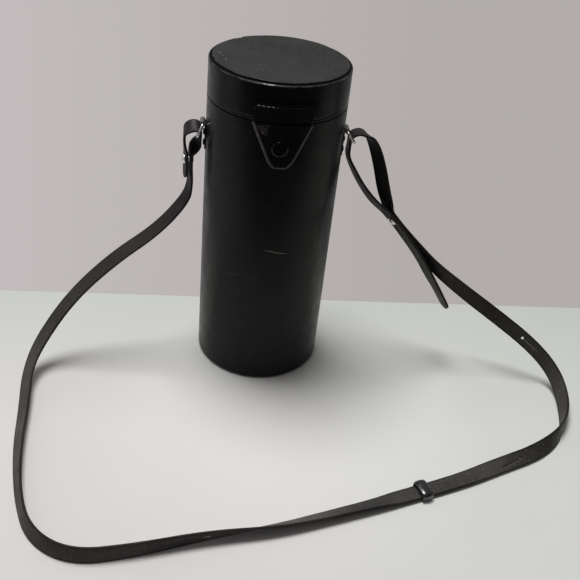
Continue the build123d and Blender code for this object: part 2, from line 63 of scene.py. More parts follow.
camera_data.lens, camera_data.sensor_width = 49.78, 36.0
camera_data.clip_start = 0.01
camera = bpy.data.objects.new("camera", camera_data)
bpy.context.collection.objects.link(camera)
turned = Matrix((picture_right, picture_up, -ahead)).transposed().to_4x4()
camera.matrix_world = Matrix.Translation(lens_place) @ turned
bpy.context.scene.camera = camera

# Body. A tall tube of stiff board with thin black hide glued round it, turned in under the
# base, a cloth lining inside and a collar at the top that the lid slips over.
SEAM = 0.2434


def nodes_of(name):
    # A new material, with its nodes, its shader and the place of each point in metres.
    material = bpy.data.materials.new(name)
    material.use_nodes = True
    tree = material.node_tree
    shader = next(n for n in tree.nodes if n.type == "BSDF_PRINCIPLED")
    place = tree.nodes.new("ShaderNodeTexCoord")
    return material, tree, shader, place.outputs["Object"]


def grain(tree, place, scale, detail=3.0):
    # Clouds around 0.5 whose size is about one metre divided by the scale.
    cells = tree.nodes.new("ShaderNodeTexNoise")
    cells.inputs["Scale"].default_value = scale
    cells.inputs["Detail"].default_value = detail
    tree.links.new(place, cells.inputs["Vector"])
    return cells.outputs["Fac"]


def spread(tree, value, low, high, start=0.35, end=0.65):
    # Stretch a value from start..end to low..high, held at both ends.
    ramp = tree.nodes.new("ShaderNodeMapRange")
    for socket, number in (("From Min", start), ("From Max", end), ("To Min", low),
                           ("To Max", high)):
        ramp.inputs[socket].default_value = number
    tree.links.new(value, ramp.inputs["Value"])
    return ramp.outputs["Result"]


def blended(tree, share, first, second):
    # Go from the first color to the second, each given as numbers or as an earlier color.
    mix = tree.nodes.new("ShaderNodeMix")
    mix.data_type = "RGBA"
    tree.links.new(share, mix.inputs["Factor"])
    for socket, color in ((mix.inputs["A"], first), (mix.inputs["B"], second)):
        if isinstance(color, tuple):
            socket.default_value = (*color, 1)
        else:
            tree.links.new(color, socket)
    return mix.outputs["Result"]


def raised(tree, shader, height, depth):
    # Give the whole surface a relief of this depth.
    bump = tree.nodes.new("ShaderNodeBump")
    bump.inputs["Distance"].default_value = depth
    tree.links.new(height, bump.inputs["Height"])
    tree.links.new(bump.outputs["Normal"], shader.inputs["Normal"])


def hide_finish(name, dark, light, smooth, dull, pore=700.0, depth=0.00005, gloss=0.16):
    # Dressed hide: clouds of two colors, patches of more and less shine, and fine pores.
    material, tree, shader, place = nodes_of(name)
    shader.inputs["Specular IOR Level"].default_value = gloss
    shader.inputs["Specular Tint"].default_value = (1.0, 0.94, 0.945, 1)
    cloud = spread(tree, grain(tree, place, 18.0, 5.0), 0, 1, 0.3, 0.75)
    tree.links.new(blended(tree, cloud, dark, light), shader.inputs["Base Color"])
    patch = spread(tree, grain(tree, place, 70.0, 4.0), smooth, dull)
    tree.links.new(patch, shader.inputs["Roughness"])
    raised(tree, shader, grain(tree, place, pore, 4.0), depth)
    return material, tree, shader, place


cover_hide, tree, shader, place = hide_finish(
    "cover_hide", (0.0048, 0.0045, 0.0047), (0.0088, 0.0082, 0.0084), 0.26, 0.38, depth=0.00003)


def calc(tree, kind, first, second=0.0):
    # One step of arithmetic on numbers or on the results of earlier steps.
    node = tree.nodes.new("ShaderNodeMath")
    node.operation = kind
    for socket, value in zip(node.inputs, (first, second)):
        if isinstance(value, (int, float)):
            socket.default_value = value
        else:
            tree.links.new(value, socket)
    return node.outputs[0]


def axes_of(tree, place):
    # The place's distance right of the case's axis, behind it, and above the table.
    split = tree.nodes.new("ShaderNodeSeparateXYZ")
    tree.links.new(place, split.inputs[0])
    return split.outputs


def band(tree, value, low, high, soft):
    # 1 where the value is between low and high, 0 outside, with soft ends.
    rise = spread(tree, value, 0, 1, low - soft, low)
    fall = spread(tree, value, 1, 0, high, high + soft)
    return calc(tree, "MULTIPLY", rise, fall)


def patchy(tree, place, mask, scale, low=0.42, high=0.6):
    # Break a mask up into flecks.
    flecks = spread(tree, grain(tree, place, scale, 4.0), 0, 1, low, high)
    return calc(tree, "MULTIPLY", mask, flecks)


def tint(tree, shader, mask, color):
    # Lay a color over the base color where the mask is 1.
    under = shader.inputs["Base Color"].links[0].from_socket
    tree.links.new(blended(tree, mask, under, color), shader.inputs["Base Color"])


x, y, z = axes_of(tree, place)
worn_foot = patchy(tree, place, band(tree, z, -0.001, 0.0018, 0.001), 260.0)
tint(tree, shader, worn_foot, (0.075, 0.070, 0.066))


def darken_gap(tree, shader, mask):
    # Take the color and the shine out of a narrow gap, where hardly any light gets in.
    tint(tree, shader, mask, (0.0004, 0.0004, 0.0004))
    under = shader.inputs["Roughness"].links[0].from_socket
    tree.links.new(calc(tree, "MAXIMUM", under, mask), shader.inputs["Roughness"])


darken_gap(tree, shader, band(tree, z, SEAM - 0.0006, SEAM + 0.0016, 0.0003))


def squared(tree, across, along):
    return calc(tree, "ADD", calc(tree, "MULTIPLY", across, across),
                calc(tree, "MULTIPLY", along, along))


def spot(tree, place, center, size, lean=0.0):
    # An oval patch in the front view, with center (x, z), half sizes and a lean in degrees.
    x, y, z = axes_of(tree, place)
    dx, dz = calc(tree, "SUBTRACT", x, center[0]), calc(tree, "SUBTRACT", z, center[1])
    c, s = math.cos(math.radians(lean)), math.sin(math.radians(lean))
    u = calc(tree, "ADD", calc(tree, "MULTIPLY", dx, c / size[0]),
             calc(tree, "MULTIPLY", dz, s / size[0]))
    v = calc(tree, "SUBTRACT", calc(tree, "MULTIPLY", dz, c / size[1]),
             calc(tree, "MULTIPLY", dx, s / size[1]))
    oval = spread(tree, squared(tree, u, v), 1, 0, 0.35, 1.0)
    return calc(tree, "MULTIPLY", oval, calc(tree, "LESS_THAN", y, 0.0))


long_scratch = spot(tree, place, (0.0030, 0.1337), (0.0125, 0.00034), -10.7)
tint(tree, shader, patchy(tree, place, long_scratch, 300.0, 0.25, 0.5), (0.36, 0.315, 0.245))
for center, size, lean, scale in (((-0.029, 0.1065), (0.0100, 0.0008), 12.0, 700.0),
                                  ((-0.032, 0.1025), (0.0065, 0.0006), -24.0, 700.0),
                                  ((-0.010, 0.091), (0.0085, 0.0006), -12.0, 700.0),
                                  ((0.0375, 0.1358), (0.0040, 0.0010), -48.0, 900.0),
                                  ((-0.040, 0.052), (0.0030, 0.0006), 30.0, 900.0),
                                  ((0.012, 0.060), (0.0040, 0.0005), -35.0, 900.0)):
    scuff = patchy(tree, place, spot(tree, place, center, size, lean), scale)
    tint(tree, shader, scuff, (0.034, 0.033, 0.033))


def dress(material, *names):
    # Put a finish on the solids of these names.
    for name in names:
        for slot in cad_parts[name].material_slots:
            slot.material = material


dress(cover_hide, "body_cover", "base_leather")


def speckled(name, dark, light, scale, detail=3.0, low=0.35, high=0.65):
    # A new material whose color goes in fine grains from dark to light.
    material, tree, shader, place = nodes_of(name)
    flecks = spread(tree, grain(tree, place, scale, detail), 0, 1, low, high)
    tree.links.new(blended(tree, flecks, dark, light), shader.inputs["Base Color"])
    return material, tree, shader, place


board_brown, tree, shader, place = speckled(
    "board_brown", (0.20, 0.15, 0.10), (0.34, 0.27, 0.19), 400.0, 6.0)
shader.inputs["Roughness"].default_value = 0.85
raised(tree, shader, grain(tree, place, 900.0), 0.0001)
dress(board_brown, "body_core", "base_board", "collar")

lining_red, tree, shader, place = speckled(
    "lining_red", (0.11, 0.012, 0.018), (0.24, 0.04, 0.05), 900.0, low=0.3, high=0.7)
shader.inputs["Roughness"].default_value = 0.9
shader.inputs["Sheen Weight"].default_value = 0.4
raised(tree, shader, grain(tree, place, 1500.0, 2.0), 0.0002)
dress(lining_red, "body_lining")

# Pads. Discs of soft foam wrapped in the lining cloth, one in the bottom and one under the
# lid, their edges rounded by the pull of the cloth.
PAD_SWELL = 0.0006


def pad_profile(radius, low, high, swell):
    # From the middle of the underside, out round the edge and back over the top.
    edge = (high - low) / 2
    middle = (low + high) / 2
    points = [(radius * k / 10, low) for k in range(10)]
    points += [(radius - edge + edge * math.cos(a), middle + edge * math.sin(a))
               for a in [math.radians(d) for d in range(-90, 91, 15)]]
    points += [(radius * k / 10 * 0.95, high + swell * (1 - (k / 10) ** 2))
               for k in range(9, -1, -1)]
    return points


def piece_from(mesh, name, *materials):
    # Turn a finished mesh into an object of the scene.
    bmesh.ops.recalc_face_normals(mesh, faces=mesh.faces)
    data = bpy.data.meshes.new(name)
    mesh.to_mesh(data)
    mesh.free()
    for material in materials:
        data.materials.append(material)
    piece = bpy.data.objects.new(name, data)
    bpy.context.collection.objects.link(piece)
    return piece


def turned_piece(name, profile, material, body, segments=128, wobble=0.0, outline=None):
    # A round piece from a profile of (radius, height) points; a profile point of radius 0
    # closes the end. An outline shifts the outer edge in or out at each angle.
    widest = max(radius for radius, height in profile)
    mesh = bmesh.new()
    rings = []
    for radius, height in profile:
        if radius == 0:
            rings.append([mesh.verts.new((0, 0, height))])
            continue
        ring = []
        for i in range(segments):
            angle = 2 * math.pi * i / segments
            reach = radius + (outline(angle) if outline and radius > widest * 0.95 else 0.0)
            corner = Vector((reach * math.cos(angle), reach * math.sin(angle), height))
            corner.z += wobble * noise.noise(corner * 60)
            ring.append(mesh.verts.new(corner))
        rings.append(ring)
    for a, b in zip(rings, rings[1:]):
        for i in range(segments):
            j = (i + 1) % segments
            if len(a) == 1:
                corners = (a[0], b[i], b[j])
            elif len(b) == 1:
                corners = (a[i], a[j], b[0])
            else:
                corners = (a[i], a[j], b[j], b[i])
            mesh.faces.new(corners).smooth = True
    piece = piece_from(mesh, name, material)
    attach(piece, body)
    return piece


pad_low, pad_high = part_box("bottom_pad")
bottom_pad = turned_piece(
    "padded_bottom",
    pad_profile(pad_high[0] - 0.0003, pad_low[2], pad_high[2] - PAD_SWELL, PAD_SWELL),
    lining_red, "root", wobble=0.0004)
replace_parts(bottom_pad, "bottom_pad")
pad_low, pad_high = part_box("lid_pad")
lid_pad = turned_piece(
    "padded_lid", pad_profile(pad_high[0] - 0.0003, pad_low[2] + 0.0002, pad_high[2], 0.0),
    lining_red, "lid")
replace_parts(lid_pad, "lid_pad")

# Lid. A shallow drum covered in the same black hide, creased all round just above its mouth.
# A flat ring of hide ends it at the top, and a greyer disc of hide is glued over that.
dress(board_brown, "lid_shell")
dress(lining_red, "lid_lining")


def press(tree, shader, mask, depth):
    # Sink the surface where the mask is 1.
    bump = tree.nodes.new("ShaderNodeBump")
    bump.invert = True
    bump.inputs["Distance"].default_value = depth
    tree.links.new(mask, bump.inputs["Height"])
    tree.links.new(shader.inputs["Normal"].links[0].from_socket, bump.inputs["Normal"])
    tree.links.new(bump.outputs["Normal"], shader.inputs["Normal"])


lid_hide, tree, shader, place = hide_finish(
    "lid_hide", (0.0042, 0.0038, 0.0039), (0.0078, 0.0072, 0.0074), 0.2, 0.34, depth=0.00003)
x, y, z = axes_of(tree, place)
press(tree, shader, band(tree, z, SEAM + 0.0022, SEAM + 0.0028, 0.0007), 0.0004)
worn_lip = patchy(tree, place, band(tree, z, SEAM + 0.0007, SEAM + 0.0011, 0.0002), 200.0,
                  0.3, 0.55)
tint(tree, shader, worn_lip, (0.045, 0.043, 0.042))
darken_gap(tree, shader, band(tree, z, SEAM - 0.0014, SEAM + 0.0004, 0.0002))
dress(lid_hide, "lid_cover")


def apart(tree, across, along):
    # The distance that two offsets at a right angle make.
    return calc(tree, "SQRT", squared(tree, across, along))


rim_hide, tree, shader, place = hide_finish(
    "rim_hide", (0.003, 0.003, 0.003), (0.007, 0.0067, 0.007), 0.3, 0.46, gloss=0.12)
x, y, z = axes_of(tree, place)
reach = apart(tree, x, y)
worn_corner = patchy(tree, place, band(tree, reach, 0.0541, 0.0548, 0.0003), 180.0, 0.38, 0.62)
tint(tree, shader, worn_corner, (0.050, 0.047, 0.045))
# A painted highlight: a pale patch on the rim's front, a little left of the middle.
painted_rim_highlight = spot(tree, place, (-0.0125, 0.2724), (0.0062, 0.0011))
tint(tree, shader, patchy(tree, place, painted_rim_highlight, 700.0, 0.3, 0.55), (0.38, 0.37, 0.36))
darken_gap(tree, shader, spread(tree, reach, 1, 0, 0.0538, 0.0542))
dress(rim_hide, "lid_rim")

top_hide, tree, shader, place = hide_finish(
    "top_hide", (0.0070, 0.0080, 0.0073), (0.0190, 0.0203, 0.0190), 0.40, 0.60, 500.0, 0.00014)
x, y, z = axes_of(tree, place)
press(tree, shader, grain(tree, place, 45.0, 2.0), 0.0006)
frayed = band(tree, apart(tree, x, y), 0.0517, 0.0540, 0.0006)
tint(tree, shader, patchy(tree, place, frayed, 350.0, 0.42, 0.62), (0.05, 0.052, 0.050))
dusty = spread(tree, grain(tree, place, 420.0, 6.0), 0, 0.5, 0.56, 0.70)
tint(tree, shader, dusty, (0.045, 0.048, 0.045))
for center, size in (((-0.042, -0.0107), 0.0007), ((-0.0465, 0.0030), 0.0009),
                     ((-0.0441, -0.0024), 0.0006)):
    away = apart(tree, calc(tree, "SUBTRACT", x, center[0]), calc(tree, "SUBTRACT", y, center[1]))
    tint(tree, shader, spread(tree, away, 1, 0, size * 0.5, size), (0.20, 0.20, 0.19))


def torn_radius(angle):
    # How far the disc's edge is shifted at an angle. The edge is uneven, and a bit is torn off
    # at the back on the left.
    turn = math.degrees(angle) % 360
    shift = 0.0007 * noise.noise(Vector((math.cos(angle) * 3, math.sin(angle) * 3, 0))) - 0.0002
    shift -= 0.0011 * max(0.0, -math.sin(angle + 0.3))
    shift -= 0.0018 * max(0.0, 1 - abs(turn - 127) / 4.5) ** 0.5
    if 75 < turn < 150:
        shift -= 0.0004 * abs(noise.noise(Vector((turn * 0.9, 0, 3))))
    return shift


top_low, top_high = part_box("lid_top_leather")
top_reach = top_high[0] - 0.0002
under, over = top_low[2], top_high[2]
top_profile = [(0, under), (top_reach * 0.6, under), (top_reach - 0.0002, under),
               (top_reach, under + 0.0003), (top_reach - 0.0001, over - 0.0004),
               (top_reach - 0.0005, over - 0.0001), (top_reach - 0.0012, over),
               (top_reach * 0.9, over), (top_reach * 0.6, over), (top_reach * 0.3, over),
               (0, over)]
top_disc = turned_piece("lid_top_disc", top_profile, top_hide, "lid",
                        segments=360, outline=torn_radius)
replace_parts(top_disc, "lid_top_leather")

# Front tab. A patch sewn to the lid and a tapered flap of two plies that bends at the seam
# and snaps shut on the body.
tab_hide = hide_finish("tab_hide", (0.0042, 0.0038, 0.0036), (0.0078, 0.0070, 0.0066),
                       0.26, 0.4)[0]
dress(tab_hide, "tab_patch")

# The flap's upper ply in the front view: a point on each side and which way the side faces.
FLAP_SIDES = (((0.0211, 0.24165), (0.9097, -0.4156)), ((0.0085, 0.21405), (0.748, -0.664)),
              ((0.0, 0.20975), (0.0, -1.0)))
SNAP_PLACE = (-0.0014, 0.2253)


def flap_edge(tree, place):
    # Distance from the edge of the flap's upper ply in the front view, above 0 outside it.
    x, y, z = axes_of(tree, place)
    wide = calc(tree, "ABSOLUTE", x)
    sides = []
    for corner, facing in FLAP_SIDES:
        across = calc(tree, "MULTIPLY", calc(tree, "SUBTRACT", wide, corner[0]), facing[0])
        along = calc(tree, "MULTIPLY", calc(tree, "SUBTRACT", z, corner[1]), facing[1])
        sides.append(calc(tree, "ADD", across, along))
    return calc(tree, "MAXIMUM", calc(tree, "MAXIMUM", sides[0], sides[1]), sides[2])


flap_hide, tree, shader, place = hide_finish(
    "flap_hide", (0.0036, 0.0033, 0.0031), (0.0068, 0.0062, 0.0058), 0.22, 0.38)
x, y, z = axes_of(tree, place)
off = flap_edge(tree, place)
left_share = spread(tree, x, 1.0, 0.7, -0.012, 0.004)
upper_edge = calc(tree, "MULTIPLY", band(tree, off, -0.00045, 0.0001, 0.0003), left_share)
tint(tree, shader, patchy(tree, place, upper_edge, 300.0, 0.15, 0.4), (0.11, 0.102, 0.093))
lower_edge = band(tree, off, 0.00075, 0.0030, 0.0002)
tint(tree, shader, patchy(tree, place, lower_edge, 300.0, 0.1, 0.35), (0.17, 0.155, 0.135))
from_snap = apart(tree, calc(tree, "SUBTRACT", x, SNAP_PLACE[0]),
                  calc(tree, "SUBTRACT", z, SNAP_PLACE[1]))
press(tree, shader, band(tree, from_snap, 0.0066, 0.0071, 0.0005), 0.0003)
outer_face = spread(tree, apart(tree, x, y), 0, 1, 0.0572, 0.0575)
# Short creases on the flap's outer face near the seam, each pressed in, with a painted highlight
# along it.
for center, size, lean in (((-0.0148, 0.2416), (0.0056, 0.00040), 7),
                           ((-0.0150, 0.2402), (0.0044, 0.00030), 3),
                           ((-0.0146, 0.2388), (0.0040, 0.00034), -3),
                           ((-0.0140, 0.2373), (0.0034, 0.00030), -8),
                           ((-0.0134, 0.2358), (0.0030, 0.00028), -14)):
    crease_and_highlight = calc(tree, "MULTIPLY", spot(tree, place, center, size, lean), outer_face)
    press(tree, shader, crease_and_highlight, 0.0004)
    tint(tree, shader, patchy(tree, place, crease_and_highlight, 900.0, 0.35, 0.6), (0.16, 0.152, 0.145))


def mm(x, y, z):
    return Vector((x, y, z)) / 1000


def flap_side(margin):
    # The flap's right edge as (half width, height) points from the seam down to the tip. A
    # margin draws it that much smaller than the lower ply.
    top, bend, tip = 0.2432, 0.2127 + margin, 0.2084 + margin
    half_top, half_bend = 0.0224 - margin, 0.0094 - margin * 0.7
    shoulder = Vector((half_top, top - 0.0016))
    bend_corner, tip_corner = Vector((half_bend, bend)), Vector((half_bend * 0.55, tip))
    points = [Vector((half_top, top)), Vector((half_top, top - 0.0008)), shoulder]
    slope = bend_corner - shoulder
    count = int(slope.length / 0.0008)
    points += [shoulder + slope * k / count for k in range(1, count)]
    for corner, toward, cut in ((bend_corner, tip_corner, 0.0006),
                                (tip_corner, Vector((0.0, tip)), 0.0013)):
        before = points[-1]
        first = corner + (before - corner).normalized() * cut
        last = corner + (toward - corner).normalized() * cut
        if (before - corner).length < cut:
            first = before
        points += [first.lerp(corner, s).lerp(corner.lerp(last, s), s)
                   for s in (0.0, 0.25, 0.5, 0.75, 1.0)]
    return points


def laid_leather(name, side, inner, outer, facing, material, columns=36):
    # A piece of leather laid round the case wall, at the front (facing -1) or the back, with
    # slightly rounded edges. Its side is a list of (half width, height) points, going down.
    mesh = bmesh.new()
    rings = []
    last_height = None
    for half, height in side:
        if last_height is not None and last_height - height < 0.00002:
            continue
        last_height = height
        places = [((half - 0.00025) * (2 * k / columns - 1), outer) for k in range(columns + 1)]
        places += [(half, outer - 0.0003), (half, inner + 0.0001)]
        places += [((half - 0.00005) * (1 - 2 * k / columns), inner) for k in range(columns + 1)]
        places += [(-half, inner + 0.0001), (-half, outer - 0.0003)]
        rings.append([mesh.verts.new((x, facing * math.sqrt(r * r - x * x), height))
                      for x, r in places])
    count = len(rings[0])
    for a, b in zip(rings, rings[1:]):
        for k in range(count):
            m = (k + 1) % count
            mesh.faces.new((a[k], a[m], b[m], b[k])).smooth = True
    for ring in (rings[0], rings[-1]):
        for k in range(columns):
            mesh.faces.new((ring[k], ring[k + 1], ring[2 * columns + 2 - k],
                            ring[2 * columns + 3 - k]))
        mesh.faces.new(ring[columns:columns + 4])
        mesh.faces.new((ring[0], *ring[2 * columns + 3:]))
    leather = piece_from(mesh, name, material)
    return leather


def take_away(piece, cutter):
    # Cut the cutter's shape out of a piece.
    tool = piece_from(cutter, "cutter")
    step = piece.modifiers.new("hole", "BOOLEAN")
    step.operation = "DIFFERENCE"
    step.solver = "EXACT"
    step.object = tool
    seen = piece.evaluated_get(bpy.context.evaluated_depsgraph_get())
    cut = bpy.data.meshes.new_from_object(seen)
    piece.modifiers.remove(step)
    piece.data = cut
    bpy.data.objects.remove(tool)


def drill(piece, radius, depth, segments, matrix):
    cutter = bmesh.new()
    bmesh.ops.create_cone(cutter, cap_ends=True, segments=segments, radius1=radius,
                          radius2=radius, depth=depth, matrix=matrix)
    take_away(piece, cutter)


def flap_ply(name, margin, inner, outer, hole):
    # One ply of the flap, with its hole for the snap.
    ply = laid_leather(name, flap_side(margin), inner, outer, -1, flap_hide)
    snap_axis = Matrix.Translation((SNAP_PLACE[0], -0.057, SNAP_PLACE[1]))
    drill(ply, hole, 0.02, 40, snap_axis @ Matrix.Rotation(math.pi / 2, 4, "X"))
    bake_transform(ply)
    return ply


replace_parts(flap_ply("flap_upper_ply", 0.0013, 0.05655, 0.0579, 0.00315), "tab_flap")
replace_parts(flap_ply("flap_lower_ply", 0.0, 0.0553, 0.0565, 0.00485), "tab_backing")

black_thread, tree, shader, place = hide_finish(
    "black_thread", (0.004, 0.004, 0.004), (0.010, 0.0096, 0.009), 0.4, 0.6, 2500.0, 0.0001)
# A painted highlight on the stitches at the left of the tab.
tint(tree, shader, spot(tree, place, (-0.0140, 0.2560), (0.0090, 0.0045)), (0.17, 0.165, 0.155))
dress(black_thread, "tab_stitches")

snap_enamel, tree, shader, place = nodes_of("snap_enamel")
shader.inputs["Base Color"].default_value = (0.002, 0.002, 0.002, 1)
shader.inputs["Specular IOR Level"].default_value = 0.25
tree.links.new(spread(tree, grain(tree, place, 400.0, 4.0), 0.12, 0.26),
               shader.inputs["Roughness"])
dress(snap_enamel, "snap_cap")


def plate_finish(name, dark, light, scale, smooth, dull):
    # Nickel plate with a faintly uneven color and shine.
    material, tree, shader, place = speckled(name, dark, light, scale)
    shader.inputs["Metallic"].default_value = 1.0
    tree.links.new(spread(tree, grain(tree, place, 500.0, 5.0), smooth, dull),
                   shader.inputs["Roughness"])
    return material


bright_plate = plate_finish("bright_plate", (0.78, 0.775, 0.77), (0.92, 0.92, 0.91), 250.0,
                            0.2, 0.4)
dress(bright_plate, "snap_socket", "snap_stud", "snap_washer")

# Hinge. A wide strap of the same hide, sewn to the lid and to the body at the back, across the
# seam.
hinge_low, hinge_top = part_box("hinge_body_half")[0][2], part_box("hinge_lid_half")[1][2]
hinge_half_width, hinge_rounding = 0.022, 0.005
hinge_straight = hinge_top - hinge_low - 2 * hinge_rounding
hinge_corner = [(hinge_half_width - hinge_rounding * (1 - math.cos(math.radians(a))),
                 hinge_rounding * (1 - math.sin(math.radians(a)))) for a in range(90, -1, -10)]
hinge_rows = int(hinge_straight / 0.0008)
hinge_side = [(half, hinge_top - down) for half, down in hinge_corner]
hinge_side += [(hinge_half_width, hinge_top - hinge_rounding - hinge_straight * k / hinge_rows)
               for k in range(1, hinge_rows)]
hinge_side += [(half, hinge_low + down) for half, down in reversed(hinge_corner)]
hinge_strap = laid_leather("hinge_strap", hinge_side, 0.05505, 0.05635, 1, tab_hide)
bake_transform(hinge_strap)
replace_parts(hinge_strap, "hinge_body_half", "hinge_lid_half")
dress(black_thread, "hinge_body_stitches", "hinge_lid_stitches")

# Lugs and rings. Each lug of hide is riveted to the body's side and holds a rolled metal
# barrel, in which a nickel-plated wire ring swings.
dress(cover_hide, "left_lug", "right_lug", "left_lug_rivets", "right_lug_rivets")
dress(bright_plate, "left_ring", "right_ring")
dull_plate = plate_finish("dull_plate", (0.10, 0.10, 0.10), (0.28, 0.27, 0.26), 300.0,
                          0.35, 0.55)
dress(dull_plate, "left_barrel", "right_barrel")

# Carrying strap. One long flat strip of dark hide, 13 mm wide and 2 mm thick, cut from the
# side and left raw at its edges. Each end goes round a ring, doubles back and is held by a stud.
STRAP_WIDTH = 0.013
STRAP_THICKNESS = 0.002
STRAP_TIP = 0.004
TIP_RADIUS = STRAP_WIDTH / 2
TIP_START = TIP_RADIUS + 0.0001
LEFT_PLY_STEP = 0.0039
RIGHT_PLY_STEP = 0.00215
upward = Vector((0, 0, 1))
keeper_place = Vector((0.12, -0.1875, 0.003))
keeper_run = Vector((math.cos(math.radians(17.5)), math.sin(math.radians(17.5)), 0))
keeper_across = Vector((-keeper_run.y, keeper_run.x, 0))
left_face = Vector((-0.98, -0.2, 0)).normalized()
left_across = Vector((-0.2, 0.98, 0)).normalized()
left_stud = Vector((-0.0664, 0.0003, 0.186))
left_over_stud = left_stud + left_face * LEFT_PLY_STEP
right_run = Vector((0.671, -0.058, -0.739)).normalized()
right_across = Vector((0.353, -0.852, 0.387)).normalized()
right_face = right_run.cross(right_across).normalized()
right_stud = Vector((0.1092, -0.0049, 0.1407))
right_over_stud = right_stud + right_face * RIGHT_PLY_STEP
# Each route goes from the keeper to a ring and on to the strap's tip, as points of the strap's
# middle line, each with the direction across the strap.
left_route = [
    (keeper_place, keeper_across),
    (keeper_place - keeper_run * 0.022, keeper_across),
    (keeper_place - keeper_run * 0.04 + upward * 0.0009, (-0.25, 0.88, -0.4)),
    (mm(44, -210.5, 4.4), (-0.2, 0.84, -0.5)),
    (mm(4, -221.5, 5.7), (-0.1, 0.7, -0.7)),
    (mm(-46, -229.5, 6.9), (0, 0.25, -0.97)),
    (mm(-98, -242, 6.8), (0, -0.1, -1)),
    (mm(-140, -247, 6.8), (0, -0.25, -0.97)),
    (mm(-170, -228, 6.8), (-0.2, -0.25, -0.95)),
    (mm(-184.2, -192, 6.7), (-0.34, -0.09, -0.94)),
    (mm(-193, -142, 6.5), (-0.6, 0, -0.8)),
    (mm(-195.8, -98.1, 6.6), (-0.7, 0.02, -0.7)),
    (mm(-199.3, -62.1, 11.9), (-0.72, 0.33, -0.6)),
    (mm(-190.4, -37.8, 27.2), (-0.69, 0.72, -0.02)),
    (mm(-164, -22.8, 63.3), (-0.51, 0.81, 0.21)),
    (mm(-128.6, -15.6, 98), (-0.48, 0.81, 0.33)),
    (mm(-92.6, -8.3, 123.6), (-0.4, 0.89, 0.24)),
    (mm(-69.2, -3.8, 151.7), (-0.41, 0.9, 0.14)),
    (mm(-66.2, -1.8, 165.5), (-0.28, 0.95, -0.08)),
    (left_stud - upward * 0.008, left_across),
    (left_stud, left_across),
    (left_stud + upward * 0.006, left_across),
    (mm(-64.3, 0, 196), (-0.55, 0.82, 0.2)),
    (mm(-61.3, 0, 200.6), (-0.5, 0.84, 0.2)),
    (mm(-59.6, 0, 204.6), (-0.1, 1, 0)),
    (mm(-58.6, 0, 208.3), (0, 1, 0)),
    (mm(-58.9, 0, 213.9), (0, 0.95, 0.3)),
    (mm(-65.4, 0, 215.3), (0, 0.89, 0.44)),
    (mm(-70.8, 0, 211.4), (0, 0.9, 0.45)),
    (mm(-71.7, 0, 207), (0, 0.98, 0.15)),
    (mm(-71.5, 0, 203.2), (0, 1, 0)),
    (mm(-71.3, 0, 198.5), (-0.1, 1, 0)),
    (left_over_stud + upward * 0.007, left_across),
    (left_over_stud + upward * 0.0029, left_across),
    (left_over_stud - upward * 0.005, left_across),
    (left_over_stud - upward * (0.012 + STRAP_TIP) + left_face * 0.0004, left_across),
]
right_route = [
    (keeper_place, keeper_across),
    (keeper_place + keeper_run * 0.032, keeper_across),
    (mm(188, -163, 4.4), (-0.3, 0.85, 0.45)),
    (mm(228, -147.5, 5.4), (-0.4, 0.7, 0.6)),
    (mm(254, -128.5, 6.9), (-0.2, 0.2, 0.97)),
    (mm(267, -102.9, 6.9), (0.37, -0.13, 0.92)),
    (mm(273.9, -73.1, 8.3), (0.6, -0.15, 0.78)),
    (mm(266.6, -54.6, 20), (0.63, -0.14, 0.74)),
    (mm(244.1, -43.8, 39), (0.62, 0.12, 0.77)),
    (mm(212.3, -29.8, 57.7), (0.57, 0.24, 0.78)),
    (mm(180.7, -19.7, 76.7), (0.53, -0.05, 0.85)),
    (mm(149.9, -11.8, 98), (0.45, -0.48, 0.74)),
    (mm(132.3, -6, 116), (0.36, -0.78, 0.51)),
    (right_stud + right_run * 0.011, right_across),
    (right_stud - right_run * 0.002, right_across),
    (right_stud - right_run * 0.009, right_across),
    (mm(101.5, -3, 153.2), (0.55, -0.78, 0.29)),
    (mm(96.2, -2.1, 165.8), (0.7, -0.65, 0.29)),
    (mm(90.1, -1.5, 186), (0.66, -0.71, 0.26)),
    (mm(83.8, -0.6, 202.8), (0.56, -0.77, 0.29)),
    (mm(78.2, 0, 212.3), (0.3, -0.88, 0.36)),
    (mm(73.55, 0, 215.2), (0, -1, 0)),
    (mm(68.3, 0, 217.3), (0, -1, 0)),
    (mm(61.2, 0, 213.8), (0, -1, 0)),
    (mm(61.3, 0, 208), (0, -1, 0)),
    (mm(61.2, 0, 203.3), (0, -1, 0)),
    (mm(61.1, 0, 195.8), (0.1, -0.99, 0.05)),
    (mm(66.9, -0.6, 185.1), (0.2, -0.95, 0.2)),
    (mm(75.4, -2.2, 171.3), (0.24, -0.93, 0.27)),
    (mm(88.2, -4.2, 156.3), (0.34, -0.87, 0.36)),
    (right_over_stud - right_run * 0.014 + right_face * 0.0008, (0.35, -0.84, 0.41)),
    (right_over_stud - right_run * 0.007, right_across),
    (right_over_stud + right_run * 0.012, right_across),
    (mm(136.5, -11, 106), (0.32, -0.87, 0.39)),
    (mm(147.9, -13.5, 88.8), (0.35, -0.85, 0.39)),
    (mm(160.5, -14.5, 70.7), (0.3, -0.91, 0.27)),
    (mm(170.1, -16.4, 55), (0.27, -0.92, 0.28)),
]


def smooth_line(points):
    # A smooth line that follows the points and starts and ends on them.
    curve = bpy.data.curves.new("line", "CURVE")
    curve.dimensions = "3D"
    curve.resolution_u = 12
    spline = curve.splines.new("NURBS")
    spline.points.add(len(points) - 1)
    for target, point in zip(spline.points, points):
        target.co = (*point, 1)
    spline.order_u = 3
    spline.use_endpoint_u = True
    holder = bpy.data.objects.new("line", curve)
    mesh = bpy.data.meshes.new_from_object(holder)
    line = [v.co.copy() for v in mesh.vertices]
    bpy.data.objects.remove(holder)
    bpy.data.curves.remove(curve)
    bpy.data.meshes.remove(mesh)
    return line


